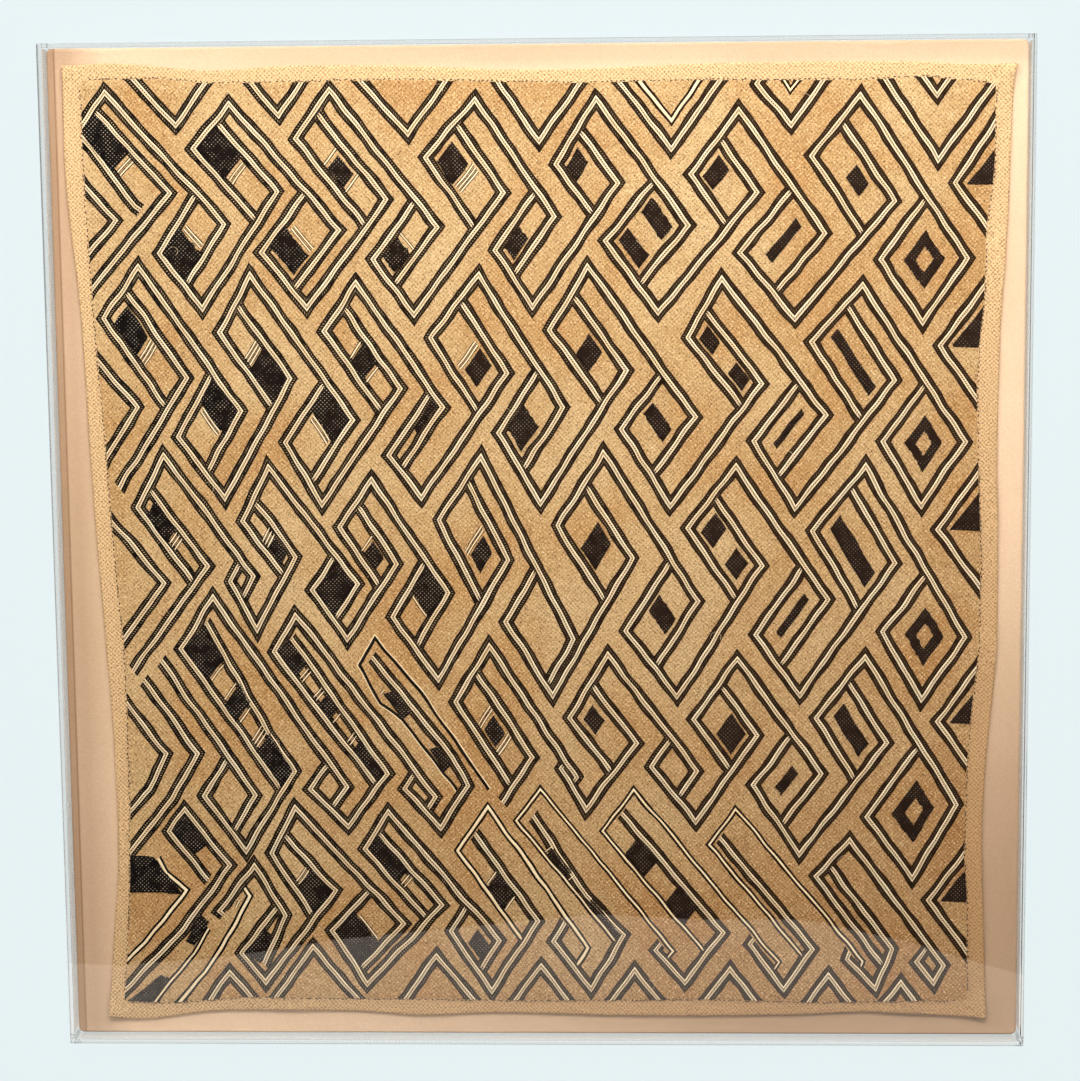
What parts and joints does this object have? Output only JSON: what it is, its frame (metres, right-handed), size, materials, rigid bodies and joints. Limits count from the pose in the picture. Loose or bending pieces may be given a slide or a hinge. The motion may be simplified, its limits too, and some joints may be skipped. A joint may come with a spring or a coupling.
{
  "type": "cut-pile raffia cloth in a clear acrylic box frame",
  "caption": "Square hand-embroidered raffia cloth with interlaced geometric lines, laid on a linen-covered mount under a clear acrylic box frame.",
  "frame": {"origin": "middle of the frame's back, on the surface it lies on", "axes": "+Z points out of the front, +Y towards the cloth's top edge, +X to the right seen from the front"},
  "size_m": [0.64, 0.667, 0.031],
  "materials": {
    "raffia": "matte cut pile and stem stitch in natural gold, cream and black-brown raffia",
    "linen": "fine plain-weave linen, matte",
    "board": "plain light plywood",
    "acrylic": "clear cast acrylic sheet, polished faces and edges"
  },
  "bodies": {
    "root": {"raffia_cloth": "raffia", "linen_cover": "linen", "mount_board": "board", "acrylic_front": "acrylic", "acrylic_wall_left": "acrylic", "acrylic_wall_right": "acrylic", "acrylic_wall_top": "acrylic", "acrylic_wall_bottom": "acrylic"}
  },
  "joints": []
}
